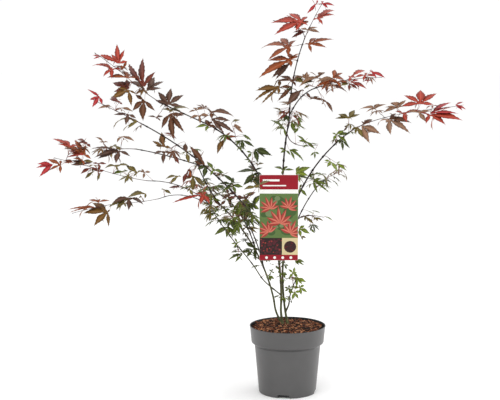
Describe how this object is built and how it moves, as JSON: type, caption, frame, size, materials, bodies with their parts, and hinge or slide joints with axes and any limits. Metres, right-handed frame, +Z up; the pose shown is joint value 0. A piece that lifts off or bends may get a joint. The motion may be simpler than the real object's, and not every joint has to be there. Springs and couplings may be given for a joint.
{
  "type": "potted japanese maple",
  "caption": "Young Japanese maple in a round nursery pot, with slender stems, long side boughs, finely cut leaves from green to red, and a hanging plant label.",
  "frame": {"origin": "centre of the flat underside of the pot, on the pot's axis", "axes": "+Z up the pot's axis, +X towards the side with the red-tipped single bough, +Y away from the face with the label"},
  "size_m": [1.0406, 0.5655, 0.9733],
  "materials": {
    "pot_plastic": "satin",
    "potting_mix": "matte",
    "bark_green": "matte",
    "bark_dark": "matte",
    "leaf_green": "matte",
    "leaf_bronze": "matte",
    "leaf_red": "matte",
    "label_card": "satin",
    "label_tie": "satin"
  },
  "bodies": {
    "root": {"pot": "pot_plastic", "potting_mix": "potting_mix", "plant_label": "label_card", "label_tie": "label_tie", "stem_left": "bark_green", "stem_centre": "bark_green", "stem_right": "bark_green", "stem_stub": "bark_dark", "leader_lower": "bark_dark", "leader_upper": "bark_dark", "bough_upper_right": "bark_dark", "bough_upper_back": "bark_dark", "bough_right": "bark_dark", "bough_low_left": "bark_dark", "bough_low_left_up": "bark_dark", "bough_low_left_down": "bark_dark", "bough_middle_left": "bark_dark", "bough_side_left": "bark_dark", "bough_top_left": "bark_dark", "bough_top_left_outer": "bark_dark", "shoot_left_inner": "bark_dark", "bough_front": "bark_dark", "bough_back_left": "bark_dark", "bough_back_right": "bark_dark", "shoot_front_right": "bark_dark", "foliage_leader_tip": "leaf_red", "foliage_leader_top_left": "leaf_red", "foliage_leader_left": "leaf_bronze", "foliage_leader_fork": "leaf_bronze", "foliage_upper_right": "leaf_bronze", "foliage_upper_right_tip": "leaf_red", "foliage_leader_right": "leaf_green", "foliage_leader_middle": "leaf_green", "foliage_upper_back": "leaf_green", "foliage_right_hanging": "leaf_green", "foliage_right_middle": "leaf_bronze", "foliage_right_tip": "leaf_red", "foliage_back_right": "leaf_green", "foliage_right_low": "leaf_green", "foliage_front_right": "leaf_green", "foliage_top_left_low": "leaf_green", "foliage_top_left_shoulder": "leaf_bronze", "foliage_top_left_middle": "leaf_bronze", "foliage_top_left_inner": "leaf_bronze", "foliage_top_left_tip": "leaf_red", "foliage_middle_left": "leaf_bronze", "foliage_middle_left_tip": "leaf_red", "foliage_middle_inner": "leaf_green", "foliage_side_left_tip": "leaf_bronze", "foliage_low_left_middle": "leaf_bronze", "foliage_low_left_tip": "leaf_red", "foliage_down_left_middle": "leaf_bronze", "foliage_down_left_tip": "leaf_bronze", "foliage_inner_left": "leaf_green", "foliage_stem_left": "leaf_green", "foliage_stem_left_low": "leaf_green", "foliage_low_left_inner": "leaf_green", "foliage_back_left": "leaf_green", "foliage_front": "leaf_green"}
  },
  "joints": []
}
